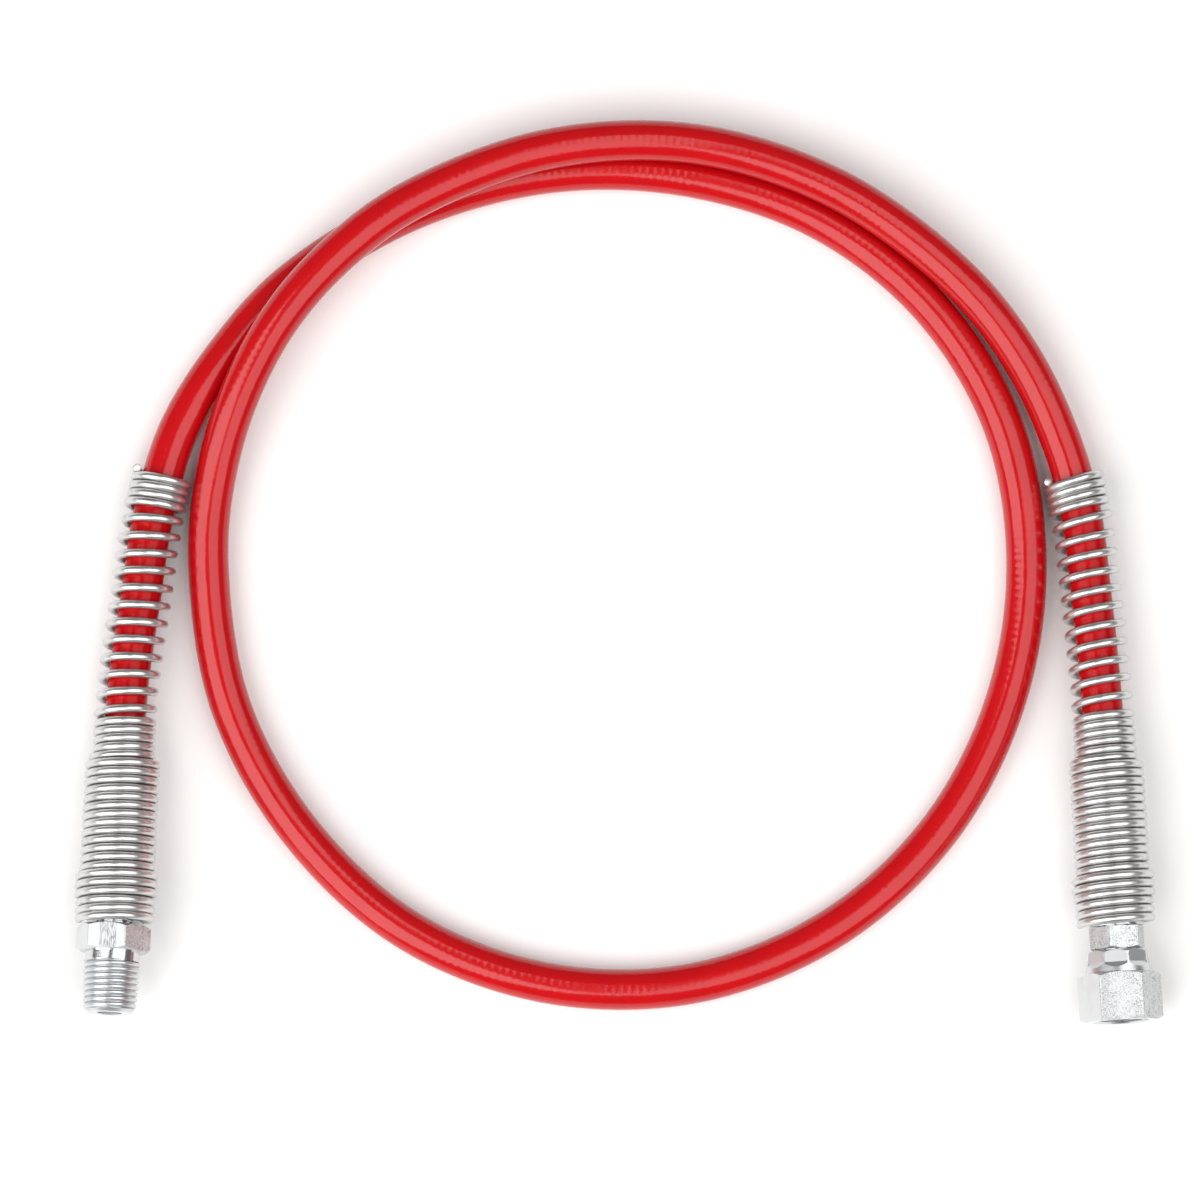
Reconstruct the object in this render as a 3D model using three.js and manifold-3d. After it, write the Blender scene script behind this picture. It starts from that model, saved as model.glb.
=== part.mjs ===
// High-pressure whip hose: a braided plastic hose of one and a half turns, with a male pipe
// thread on one end, a swivel nut on the other, and a spring guard over each end.
// Millimetres, +Z up, standing on z = 0, centred on its own box in X and Y.
import * as THREE from "three";
import { mergeVertices } from "three/addons/utils/BufferGeometryUtils.js";
import Module from "manifold-3d";

const wasm = await Module();
wasm.setup();

// ---- driving dimensions ----
const HOSE_RADIUS = 4.9; // 9.8 mm over the cover, for a 3/16 in bore
const HOSE_LAYERS = {
  core_tube: { outer: 2.95, inner: 2.4, sides: 6, color: "#e9e4d2" },
  inner_braid: { outer: 3.5, inner: 3.25, sides: 6, color: "#d8c98a" },
  outer_braid: { outer: 4.05, inner: 3.8, sides: 6, color: "#d8c98a" },
  hose_cover: { outer: HOSE_RADIUS, inner: 4.4, sides: 10, color: "#c9161c" },
};
const HOSE_STEPS = 60;
const HOSE_END = 6; // from the fitting's shoulder back to the cut end of the hose

const COIL_CENTRE = [0.5, 1.5];
// Turn of each point in degrees, its radius and its height, all the way round the coil.
const COIL_ROUTE = [
  [163, 111, 6.8], [151, 107.5, 5.5], [139, 104.5, 5], [120, 99.5, 5], [100, 96.5, 5],
  [80, 95.5, 5], [60, 96.5, 5], [40, 97.5, 5], [20, 98, 5], [0, 97.5, 5], [-20, 98, 5],
  [-40, 99.5, 5], [-60, 101, 5], [-80, 102, 5], [-100, 102, 5], [-120, 101.5, 5],
  [-140, 100, 5], [-160, 99.5, 5], [-180, 99, 5.2], [-192, 99.5, 7.4], [-204, 100, 11.5],
  [-216, 100.5, 14.2], [-228, 100.5, 15.2], [-240, 100.5, 15.2], [-260, 101, 14.4],
  [-280, 102.5, 12.8], [-300, 104, 12.2], [-320, 106.5, 10.3], [-333, 108.5, 8.4],
  [-345, 110, 7.6],
];
// The nearly straight runs inside the springs, from the fitting towards the coil.
const MALE_RUN = [[-117.5, -28, 8.4], [-114.5, -6, 7.8], [-111.5, 14, 7.7]];
const SWIVEL_RUN = [[115.5, -28, 8.6], [113.5, -7, 7.9], [111, 14, 7.7]];
// Where each fitting's shoulder stands, and how its axis leans sideways and rises outwards.
const MALE_END = { shoulder: [-120.4, -84.8, 11.6], lean: -2.7, rise: 3.6 };
const SWIVEL_END = { shoulder: [118.8, -85.1, 10.2], lean: 3.2, rise: 1 };

const WIRE_DIAMETER = 1.98;
const WIRE_SIDES = 4;
const WIRE_STEPS = 420;
// Spring sections from the fitting to the free end: turns, pitch and outer diameter.
const FITTING_TURNS = [
  { turns: 2.5, pitch: 2, outer: 19 },
  { turns: 3, pitch: 2.075, outer: 20 },
];
const GRIP_TURNS = [{ turns: 4.01, pitch: 1.99, outer: 15.1 }];
const MALE_SPRING = [
  ...FITTING_TURNS,
  { turns: 13.3, pitch: 2.06, outer: 18.1 },
  { turns: 5.06, pitch: 2.06, outer: 15.1 },
  { turns: 12.18, pitch: 4.22, outer: 15.1 },
  ...GRIP_TURNS,
];
const SWIVEL_SPRING = [
  ...FITTING_TURNS,
  { turns: 13.4, pitch: 2.03, outer: 18.1 },
  { turns: 5.45, pitch: 2.03, outer: 15.1 },
  { turns: 11.69, pitch: 4.34, outer: 15.1 },
  ...GRIP_TURNS,
];
const SPRING_BLEND_TURNS = 0.4; // each change of diameter is spread over this much of a turn
const SPRING_START = 0.2; // from the shoulder to the centre of the first turn's wire
const TANGENT_REACH = 0.2; // how far each way the hose's direction is taken under the wire

const FERRULE = { outer: 6.6, inner: 5.2, throat: 4.3, length: 36, lip: 5.4, end: 0.6 };
const SPIGOT = { radius: 4, length: 5.4 };
const NIPPLE = { radius: 1.95, root: 1.75, bore: 1.2, end: 34, barbs: 4 };

const MALE_HEX = { flats: 15.875, start: 0.9, end: 7.2, roll: 9 };
const MALE_NECK = { radius: 6.5, length: 2.4 };
const MALE_THREAD = { length: 12.3, radius: 6.8, tip: 6.2, chamfer: 0.7, runOut: 0.5 };
const MALE_BORE = { radius: 2.8, depth: 12 };

const STEM_HEX = { flats: 12, start: 0.9, end: 5.8, roll: 45 };
const STEM_NECK = { radius: 4.5, end: 8.7 };
const STEM_FLANGE = { radius: 6, end: 12.2 };
const STEM_CONE = { radius: 5.2, tip: 3.2, end: 15.7, bore: 2 };

const NUT = { flats: 17.46, start: 6.5, hexStart: 11.9, end: 23.4, roll: 0 };
const NUT_COLLAR = { top: 7.4, foot: 8.05, edge: 0.5 };
const NUT_LIP = { radius: 5.05, end: 8.3 };
const NUT_CHAMBER = { radius: 6.5, end: 12.7 };
const NUT_THREAD_RADIUS = 6.1;

const ROUND_SIDES = 20;
const CHAMFER_ANGLE = 30;
const CHAMFER_SEAT = 0.1;
const HEX_CLEARANCE = 0.5; // the chamfer's cone starts this far outside the hex's corners
const HEX_BORE = 3; // each hex is bored out to this radius before its turned core joins it
const JOIN_DEPTH = 0.5; // how far one shape runs into the next where they join
const CUT_PAST = 1; // how far a cutting shape runs past the face that it opens
const ARC_DIVISIONS = 2400; // samples of a curve from which its length is measured

const PLATED = { color: "#c9cbcc", roughness: 0.35, metalness: 1 };
const SPRING_WIRE = { color: "#d4d6d7", roughness: 0.22, metalness: 1 };

const radians = THREE.MathUtils.degToRad;

// ---- route of the hose ----

function outward(end) {
  const lean = radians(end.lean);
  const rise = radians(end.rise);
  return new THREE.Vector3(
    Math.sin(lean) * Math.cos(rise),
    -Math.cos(lean) * Math.cos(rise),
    Math.sin(rise),
  );
}

// The point on an end's straight axis, a distance behind the fitting's shoulder.
function behindShoulder(end, distance) {
  return point(end.shoulder).addScaledVector(outward(end), -distance);
}

function straightRun(end) {
  return [0, FERRULE.length / 2, FERRULE.length].map((distance) => behindShoulder(end, distance));
}

function point(xyz) {
  return new THREE.Vector3(...xyz);
}

function coilPoint([turn, radius, height]) {
  const angle = radians(turn);
  return new THREE.Vector3(
    COIL_CENTRE[0] + radius * Math.cos(angle),
    COIL_CENTRE[1] + radius * Math.sin(angle),
    height,
  );
}

function route() {
  const points = [
    ...straightRun(MALE_END),
    ...MALE_RUN.map(point),
    ...COIL_ROUTE.map(coilPoint),
    ...SWIVEL_RUN.map(point).reverse(),
    ...straightRun(SWIVEL_END).reverse(),
  ];
  const curve = new THREE.CatmullRomCurve3(points, false, "centripetal");
  curve.arcLengthDivisions = ARC_DIVISIONS;
  return curve;
}

// A stretch of another curve between two distances along it, with equal steps of length.
class Stretch extends THREE.Curve {
  constructor(whole, from, to) {
    super();
    Object.assign(this, { whole, from, to, total: whole.getLength() });
  }
  getPoint(t) {
    return this.whole.getPointAt((this.from + (this.to - this.from) * t) / this.total);
  }
}

// ---- shapes ----

function ring(outer, inner, sides) {
  const polygon = (radius) =>
    Array.from({ length: sides }, (_, i) => {
      const angle = (2 * Math.PI * i) / sides;
      return new THREE.Vector2(radius * Math.cos(angle), radius * Math.sin(angle));
    });
  const shape = new THREE.Shape(polygon(outer));
  if (inner) shape.holes.push(new THREE.Path(polygon(inner).reverse()));
  return shape;
}

function along(curve, shape, steps) {
  return new THREE.ExtrudeGeometry(shape, { extrudePath: curve, steps, bevelEnabled: false });
}

// A turned shape about +Z from its outline of [radius, height] pairs, which starts and ends
// on the axis.
function turned(outline) {
  const points = outline.map(([radius, height]) => new THREE.Vector2(radius, height));
  return new THREE.LatheGeometry(points, ROUND_SIDES).rotateX(Math.PI / 2);
}

// A turned shape with a hole through it, from an outline that closes on itself.
function turnedRing(outline) {
  return turned([...outline, outline[0]]);
}

function rod(radius, from, to) {
  return turned([[0, from], [radius, from], [radius, to], [0, to]]);
}

// A hexagonal prism about +Z with one flat facing +Y before it is rolled.
function hexPrism(flats, from, to, roll) {
  const corner = flats / Math.sqrt(3);
  const prism = new THREE.CylinderGeometry(corner, corner, to - from, 6);
  return prism
    .rotateX(Math.PI / 2)
    .rotateZ(radians(30 + roll))
    .translate(0, 0, (from + to) / 2);
}

function toSolid(geometry) {
  const bare = geometry.clone();
  bare.deleteAttribute("normal");
  bare.deleteAttribute("uv");
  const merged = mergeVertices(bare, 1e-4);
  return new wasm.Manifold(
    new wasm.Mesh({
      numProp: 3,
      vertProperties: new Float32Array(merged.attributes.position.array),
      triVerts: new Uint32Array(merged.index.array),
    }),
  );
}

function toGeometry(solid) {
  const { vertProperties, triVerts } = solid.getMesh();
  const geometry = new THREE.BufferGeometry();
  geometry.setAttribute("position", new THREE.BufferAttribute(vertProperties, 3));
  geometry.setIndex(new THREE.BufferAttribute(triVerts, 1));
  geometry.computeVertexNormals();
  return geometry;
}

// A hexagon whose corners are cut by a cone at either or both ends. The cone meets each end
// face just inside the flats.
function chamferedHex({ flats, from, to, roll, startCut, endCut }) {
  const corner = flats / Math.sqrt(3) + HEX_CLEARANCE;
  const seat = flats / 2 - CHAMFER_SEAT;
  const depth = (corner - seat) * Math.tan(radians(CHAMFER_ANGLE));
  const outline = [[0, from]];
  if (startCut) outline.push([seat, from], [corner, from + depth]);
  else outline.push([corner, from]);
  if (endCut) outline.push([corner, to - depth], [seat, to]);
  else outline.push([corner, to]);
  outline.push([0, to]);
  return toSolid(hexPrism(flats, from, to, roll)).intersect(toSolid(turned(outline)));
}

// A hex with its middle bored out, ready for its turned core.
function boredHex(sizes) {
  const hole = toSolid(rod(HEX_BORE, sizes.from - CUT_PAST, sizes.to + CUT_PAST));
  return chamferedHex(sizes).subtract(hole);
}

function mesh(name, geometry, finish) {
  const made = new THREE.Mesh(geometry, new THREE.MeshStandardMaterial(finish));
  made.name = name;
  return made;
}

// ---- the hose ----

function hoseLayers(curve) {
  const line = new Stretch(curve, HOSE_END, curve.getLength() - HOSE_END);
  line.arcLengthDivisions = ARC_DIVISIONS;
  return Object.entries(HOSE_LAYERS).map(([name, { outer, inner, sides, color }]) =>
    mesh(name, along(line, ring(outer, inner, sides), HOSE_STEPS), { color, roughness: 0.4 }),
  );
}

// ---- the spring guards ----

// How far along the axis the wire has come after some turns, and its radius there.
function springAt(sections, turn) {
  let start = 0;
  let distance = SPRING_START;
  let before = sections[0];
  for (const section of sections) {
    const done = Math.min(Math.max(turn - start, 0), section.turns);
    distance += done * section.pitch;
    if (turn <= start + section.turns || section === sections.at(-1)) {
      const share = THREE.MathUtils.smoothstep(turn - start, 0, SPRING_BLEND_TURNS);
      const outer = before.outer + (section.outer - before.outer) * share;
      return { distance, radius: (outer - WIRE_DIAMETER) / 2 };
    }
    start += section.turns;
    before = section;
  }
}

// The right-handed helix of one spring's wire around the hose, from the fitting outwards.
class SpringWire extends THREE.Curve {
  constructor(sections, centreAt) {
    super();
    this.sections = sections;
    this.turns = sections.reduce((sum, { turns }) => sum + turns, 0);
    this.centreAt = centreAt;
    this.arcLengthDivisions = ARC_DIVISIONS;
  }
  getPoint(t) {
    const turn = t * this.turns;
    const { distance, radius } = springAt(this.sections, turn);
    const centre = this.centreAt(distance);
    const ahead = this.centreAt(distance + TANGENT_REACH);
    const axis = ahead.sub(this.centreAt(distance - TANGENT_REACH)).normalize();
    const side = new THREE.Vector3(0, 0, 1).cross(axis).normalize();
    const up = axis.clone().cross(side);
    const angle = 2 * Math.PI * turn;
    return centre
      .addScaledVector(side, radius * Math.cos(angle))
      .addScaledVector(up, radius * Math.sin(angle));
  }
}

function springGuard(name, sections, centreAt) {
  const wire = ring(WIRE_DIAMETER / 2, 0, WIRE_SIDES);
  return mesh(name, along(new SpringWire(sections, centreAt), wire, WIRE_STEPS), SPRING_WIRE);
}

// ---- pieces of an end, about its axis: z = 0 at the shoulder, +z out of the fitting ----

function ferrule(name) {
  const { outer, inner, throat, length, lip, end } = FERRULE;
  const outline = [
    [throat, end], [throat, -lip], [inner, -lip], [inner, -length],
    [outer, -length], [outer, end],
  ];
  return mesh(name, turnedRing(outline), PLATED);
}

// The tail that both fittings share: a spigot for the ferrule, then a barbed nipple.
function tailOutline() {
  const outline = [[SPIGOT.radius, -SPIGOT.length]];
  const pitch = (NIPPLE.end - SPIGOT.length) / NIPPLE.barbs;
  for (let i = 0; i < NIPPLE.barbs; i += 1) {
    const at = -SPIGOT.length - i * pitch;
    outline.push([NIPPLE.radius, at], [NIPPLE.root, at - pitch]);
  }
  outline.push([NIPPLE.bore, -NIPPLE.end]);
  return outline.reverse();
}

function maleFitting() {
  const { flats, start, end, roll } = MALE_HEX;
  const neckEnd = end + MALE_NECK.length;
  const tip = neckEnd + MALE_THREAD.length;
  const core = toSolid(
    turnedRing([
      ...tailOutline(),
      [SPIGOT.radius, start + JOIN_DEPTH], [MALE_NECK.radius, start + JOIN_DEPTH],
      [MALE_NECK.radius, neckEnd],
      [MALE_THREAD.radius, neckEnd + MALE_THREAD.runOut],
      [MALE_THREAD.tip, tip - MALE_THREAD.chamfer],
      [MALE_THREAD.tip - MALE_THREAD.chamfer, tip], [MALE_BORE.radius, tip],
      [MALE_BORE.radius, tip - MALE_BORE.depth], [NIPPLE.bore, tip - MALE_BORE.depth],
    ]),
  );
  const hex = boredHex({ flats, from: start, to: end, roll, startCut: true, endCut: true });
  return mesh("male_fitting", toGeometry(core.add(hex)), PLATED);
}

function swivelStem() {
  const { flats, start, end, roll } = STEM_HEX;
  const core = toSolid(
    turnedRing([
      ...tailOutline(),
      [SPIGOT.radius, start + JOIN_DEPTH], [STEM_NECK.radius, start + JOIN_DEPTH],
      [STEM_NECK.radius, STEM_NECK.end],
      [STEM_FLANGE.radius, STEM_NECK.end], [STEM_FLANGE.radius, STEM_FLANGE.end],
      [STEM_CONE.radius, STEM_FLANGE.end], [STEM_CONE.tip, STEM_CONE.end],
      [STEM_CONE.bore, STEM_CONE.end], [STEM_CONE.bore, 0], [NIPPLE.bore, 0],
    ]),
  );
  const hex = boredHex({ flats, from: start, to: end, roll, endCut: true });
  return mesh("swivel_stem", toGeometry(core.add(hex)), PLATED);
}

function swivelNut() {
  const { flats, start, hexStart, end, roll } = NUT;
  const { top, foot, edge } = NUT_COLLAR;
  const collar = toSolid(
    turned([
      [0, start], [top - edge, start], [top, start + edge], [foot, hexStart],
      [foot, hexStart + JOIN_DEPTH], [0, hexStart + JOIN_DEPTH],
    ]),
  );
  const hex = chamferedHex({ flats, from: hexStart, to: end, roll, startCut: true, endCut: true });
  const bore = toSolid(
    turned([
      [0, start - CUT_PAST], [NUT_LIP.radius, start - CUT_PAST], [NUT_LIP.radius, NUT_LIP.end],
      [NUT_CHAMBER.radius, NUT_LIP.end], [NUT_CHAMBER.radius, NUT_CHAMBER.end],
      [NUT_THREAD_RADIUS, NUT_CHAMBER.end], [NUT_THREAD_RADIUS, end + CUT_PAST],
      [0, end + CUT_PAST],
    ]),
  );
  return mesh("swivel_nut", toGeometry(collar.add(hex).subtract(bore)), PLATED);
}

// A group at the end's shoulder, with +Z out along its axis and +Y uppermost.
function endGroup(end, pieces) {
  const axis = outward(end);
  const side = new THREE.Vector3(0, 0, 1).cross(axis).normalize();
  const up = axis.clone().cross(side);
  const group = new THREE.Group();
  group.applyMatrix4(new THREE.Matrix4().makeBasis(side, up, axis));
  group.position.set(...end.shoulder);
  group.add(...pieces);
  return group;
}

const curve = route();
const length = curve.getLength();
const hose = new THREE.Group();
hose.add(
  ...hoseLayers(curve),
  springGuard("male_spring_guard", MALE_SPRING, (s) => curve.getPointAt(s / length)),
  springGuard("swivel_spring_guard", SWIVEL_SPRING, (s) => curve.getPointAt(1 - s / length)),
  endGroup(MALE_END, [maleFitting(), ferrule("male_ferrule")]),
  endGroup(SWIVEL_END, [swivelStem(), ferrule("swivel_ferrule"), swivelNut()]),
);

export default hose;
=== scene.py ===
"""A coiled whip hose dressed for a picture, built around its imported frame.

Shapes are worked out in millimetres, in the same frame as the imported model, and become
metres when a piece is finished. Each end of the hose has its own frame: z = 0 at the
fitting's shoulder, +Z out of the fitting along its axis, +Y uppermost.
"""

from __future__ import annotations

import logging
import math
from bisect import bisect_right
from collections.abc import Callable, Mapping, Sequence
from dataclasses import dataclass, field
from enum import Enum

import bmesh
import bpy
from mathutils import Matrix, Vector, noise


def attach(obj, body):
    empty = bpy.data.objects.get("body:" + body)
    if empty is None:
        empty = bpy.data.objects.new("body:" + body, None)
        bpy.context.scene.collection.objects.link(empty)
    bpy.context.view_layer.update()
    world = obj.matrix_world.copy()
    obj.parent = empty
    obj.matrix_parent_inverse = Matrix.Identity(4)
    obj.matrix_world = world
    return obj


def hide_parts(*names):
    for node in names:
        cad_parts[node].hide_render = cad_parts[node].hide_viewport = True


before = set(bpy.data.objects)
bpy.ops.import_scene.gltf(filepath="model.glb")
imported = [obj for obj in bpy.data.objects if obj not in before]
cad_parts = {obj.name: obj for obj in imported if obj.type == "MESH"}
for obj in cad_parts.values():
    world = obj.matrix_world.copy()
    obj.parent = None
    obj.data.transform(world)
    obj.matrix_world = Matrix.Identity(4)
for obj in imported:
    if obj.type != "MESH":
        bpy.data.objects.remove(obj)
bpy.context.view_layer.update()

LOG = logging.getLogger("whip_hose")
METRES = 0.001  # one millimetre
HOSE_BODY = "hose_assembly"
NUT_BODY = "swivel_nut"
UP = Vector((0.0, 0.0, 1.0))
PIPE_PITCH = 25.4 / 18  # of a quarter inch pipe thread
NO_FLATS = 50.0  # further off the axis than any surface
PLAIT_LENGTH = 3.7  # one full crossing of the braid
PLAIT_STARTS = 8
Outline = Sequence[tuple[float, float]]
Triple = tuple[float, float, float]
Material = bpy.types.Material
Object = bpy.types.Object
Mesh = bmesh.types.BMesh


# ---------------- shader graphs


@dataclass(frozen=True)
class Channel:
    """One output of a shader node, on which sums can be written as Python expressions."""

    graph: Graph
    socket: bpy.types.NodeSocket

    def math(self, operation: str, *others: Channel | float) -> Channel:
        """The result of a Math node that takes this value and then the others."""
        values = dict(enumerate((self, *others)))
        return self.graph.add("ShaderNodeMath", {"operation": operation}, values)["Value"]

    def __add__(self, other: Channel | float) -> Channel:
        """This value plus another."""
        return self.math("ADD", other)

    def __radd__(self, other: float) -> Channel:
        """A number plus this value."""
        return self.math("ADD", other)

    def __sub__(self, other: Channel | float) -> Channel:
        """This value minus another."""
        return self.math("SUBTRACT", other)

    def __rsub__(self, other: float) -> Channel:
        """A number minus this value."""
        return self.graph.number(other).math("SUBTRACT", self)

    def __mul__(self, other: Channel | float) -> Channel:
        """This value times another."""
        return self.math("MULTIPLY", other)

    def sine(self) -> Channel:
        """The sine of this value, in radians."""
        return self.math("SINE")

    def cosine(self) -> Channel:
        """The cosine of this value, in radians."""
        return self.math("COSINE")

    def stepped(self, low: float, high: float) -> Channel:
        """A smooth step of this value.

        Args:
            low: Where the step leaves 0.
            high: Where the step reaches 1.

        Returns:
            A value from 0 to 1.
        """
        settings = {"interpolation_type": "SMOOTHSTEP"}
        values = {"Value": self, "From Min": low, "From Max": high}
        return self.graph.add("ShaderNodeMapRange", settings, values)["Result"]


class Graph:
    """The node tree of one material."""

    def __init__(self, name: str) -> None:
        """Makes an empty material.

        Args:
            name: The material's name.
        """
        self.material = bpy.data.materials.new(name)
        self.material.use_nodes = True
        self.tree = self.material.node_tree
        self.tree.nodes.clear()
        self.output = self.tree.nodes.new("ShaderNodeOutputMaterial")

    def add(
        self, kind: str, settings: Mapping[str, object], values: Mapping[str | int, object]
    ) -> dict[str, Channel]:
        """Adds a node.

        Args:
            kind: The node's type.
            settings: Its settings, set first.
            values: A value or a channel for each input socket, by name or number.

        Returns:
            The node's outputs that are in use, by name.
        """
        node = self.tree.nodes.new(kind)
        for name, setting in settings.items():
            setattr(node, name, setting)
        for name, value in values.items():
            self._feed(node.inputs[name], value)
        return {out.name: Channel(self, out) for out in node.outputs if out.enabled}

    def number(self, value: float) -> Channel:
        """A constant as a channel."""
        return self.add("ShaderNodeMath", {"operation": "ADD"}, {0: value, 1: 0.0})["Value"]

    def blend(self, share: Channel, first: object, second: object) -> Channel:
        """Mixes two colours.

        Args:
            share: How much of the second colour there is, from 0 to 1.
            first: The first colour or channel.
            second: The second colour or channel.

        Returns:
            The mixed colour.
        """
        values = {"Factor": share, "A": first, "B": second}
        node = self.tree.nodes.new("ShaderNodeMix")
        node.data_type = "RGBA"
        for socket in node.inputs:
            if socket.enabled and socket.name in values:
                self._feed(socket, values[socket.name])
        return Channel(self, next(out for out in node.outputs if out.enabled))

    def vector(self, x: object, y: object, z: object) -> Channel:
        """A vector from its three parts."""
        return self.add("ShaderNodeCombineXYZ", {}, {"X": x, "Y": y, "Z": z})["Vector"]

    def parts(self, vector: Channel) -> tuple[Channel, Channel, Channel]:
        """The three parts of a vector."""
        found = self.add("ShaderNodeSeparateXYZ", {}, {"Vector": vector})
        return found["X"], found["Y"], found["Z"]

    def noise(self, vector: Channel, scale: float, detail: float, rough: float = 0.5) -> Channel:
        """Smooth noise about 0.5, with so many cells in one unit."""
        values = {"Vector": vector, "Scale": scale, "Detail": detail, "Roughness": rough}
        return self.add("ShaderNodeTexNoise", {"noise_dimensions": "3D"}, values)["Fac"]

    def end_place(self, place: Matrix) -> Channel:
        """The surface point in millimetres in a hose end's own frame.

        Args:
            place: That frame, in millimetres.

        Returns:
            The point as a vector.
        """
        found = self.add("ShaderNodeTexCoord", {}, {})["Object"]
        values = {
            "Vector": found,
            "Location": place.translation * METRES,
            "Rotation": place.to_euler(),
            "Scale": (METRES, METRES, METRES),
        }
        return self.add("ShaderNodeMapping", {"vector_type": "TEXTURE"}, values)["Vector"]

    def object_place(self) -> Channel:
        """The surface point in millimetres in the frame of the whole object."""
        return self.end_place(Matrix.Identity(4))

    def tube_place(self) -> tuple[Channel, Channel]:
        """Where a point is on a tube: its turn around it and its distance along it in mm."""
        along, around, _ = self.parts(self.add("ShaderNodeTexCoord", {}, {})["UV"])
        return around, along

    def yarns(self, around: Channel, along: Channel) -> tuple[Channel, Channel]:
        """The phase of the yarns that wind to the right and of those that wind to the left."""
        lay = around * (2 * math.pi * PLAIT_STARTS)
        advance = along * (2 * math.pi / PLAIT_LENGTH)
        return lay + advance, lay - advance

    def shader(self, **values: object) -> Channel:
        """A surface shader, from its inputs with their spaces as underscores."""
        inputs = {name.replace("_", " "): value for name, value in values.items()}
        return self.add("ShaderNodeBsdfPrincipled", {}, inputs)["BSDF"]

    def surface(self, **values: object) -> None:
        """Gives the whole surface one shader."""
        self._feed(self.output.inputs["Surface"], self.shader(**values))

    def mixed_surface(self, share: Channel, first: Channel, second: Channel) -> None:
        """Gives the surface two shaders, and as much of the second as the share says."""
        mixed = self.add("ShaderNodeMixShader", {}, {0: share, 1: first, 2: second})
        self._feed(self.output.inputs["Surface"], mixed["Shader"])

    def relief(self, height: Channel, depth: float) -> Channel:
        """The normal of fine relief, so many millimetres deep."""
        values = {"Height": height, "Distance": depth * METRES, "Strength": 1.0}
        return self.add("ShaderNodeBump", {}, values)["Normal"]

    def _feed(self, socket: bpy.types.NodeSocket, value: object) -> None:
        """Links a channel to a socket, or sets the socket's own value."""
        if isinstance(value, Channel):
            self.tree.links.new(value.socket, socket)
        elif socket.type == "RGBA":
            socket.default_value = (*value, 1.0)
        else:
            socket.default_value = value


# ---------------- finishes


@dataclass(frozen=True)
class RedCover:
    """Glossy red polyurethane, through which the braid beneath it just shows."""

    middle: float  # half of the length of the hose
    rubbed_and_shaded: float = 106.0  # the springs rub it dull, and shade is painted on it, this far from each end
    colour: Triple = (0.5, 0.0035, 0.006)
    deep: Triple = (0.42, 0.0025, 0.005)
    # painted shade: a darker red for where the springs shade the cover
    spring_shaded_red: Triple = (0.46, 0.003, 0.005)

    def material(self) -> Material:
        """Builds the finish."""
        graph = Graph("red_cover")
        around, along = graph.tube_place()
        place = graph.object_place()
        right, left = graph.yarns(around, along)
        plaits = right.sine() * left.sine()
        patches = graph.noise(place, 0.09, 2.0).stepped(0.42, 0.62)
        ripple = graph.noise(place, 0.55, 3.0)
        wear = graph.noise(place, 1.6, 4.0)
        # The stretch under the springs: rougher and creased, with painted shade in its darker red
        rubbed_and_shaded = 1.0 - (along - self.middle).math("ABSOLUTE").math(
            "MULTIPLY_ADD", -1.0, self.middle
        ).stepped(self.rubbed_and_shaded - 4, self.rubbed_and_shaded + 4)
        creases = graph.noise(place, 0.32, 2.0) * rubbed_and_shaded
        height = plaits * (patches * 0.26 + 0.06) + ripple * 0.7 + creases * 5.0
        clean = graph.blend(graph.noise(place, 0.12, 3.0), self.deep, self.colour)
        relief = graph.relief(height, 0.05)
        gloss = 0.1 + wear * 0.12
        glossy = graph.shader(Base_Color=clean, Roughness=gloss, IOR=1.45, Normal=relief)
        # painted shade: this shader's darker red stands in for the springs' shade on the cover
        matt_shaded = graph.shader(
            Base_Color=self.spring_shaded_red, Roughness=gloss + 0.06, IOR=1.25, Normal=relief
        )
        graph.mixed_surface(rubbed_and_shaded, glossy, matt_shaded)
        return graph.material


@dataclass(frozen=True)
class DrawnWire:
    """Bright plated spring wire with faint draw marks along it."""

    colour: Triple = (0.66, 0.655, 0.645)
    dull: Triple = (0.42, 0.415, 0.41)

    def material(self) -> Material:
        """Builds the finish."""
        graph = Graph("drawn_wire")
        around, along = graph.tube_place()
        turn = around * (2 * math.pi)
        drawn = graph.noise(graph.vector(turn.cosine(), turn.sine(), along * 0.012), 5.0, 4.0)
        place = graph.object_place()
        tarnish = graph.noise(place, 0.35, 4.0).stepped(0.52, 0.78)
        graph.surface(
            Base_Color=graph.blend(tarnish * 0.5 + (drawn * 0.3), self.colour, self.dull),
            Metallic=0.9,
            Roughness=0.22 + drawn * 0.16,
            Normal=graph.relief(drawn, 0.025),
        )
        return graph.material


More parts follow.
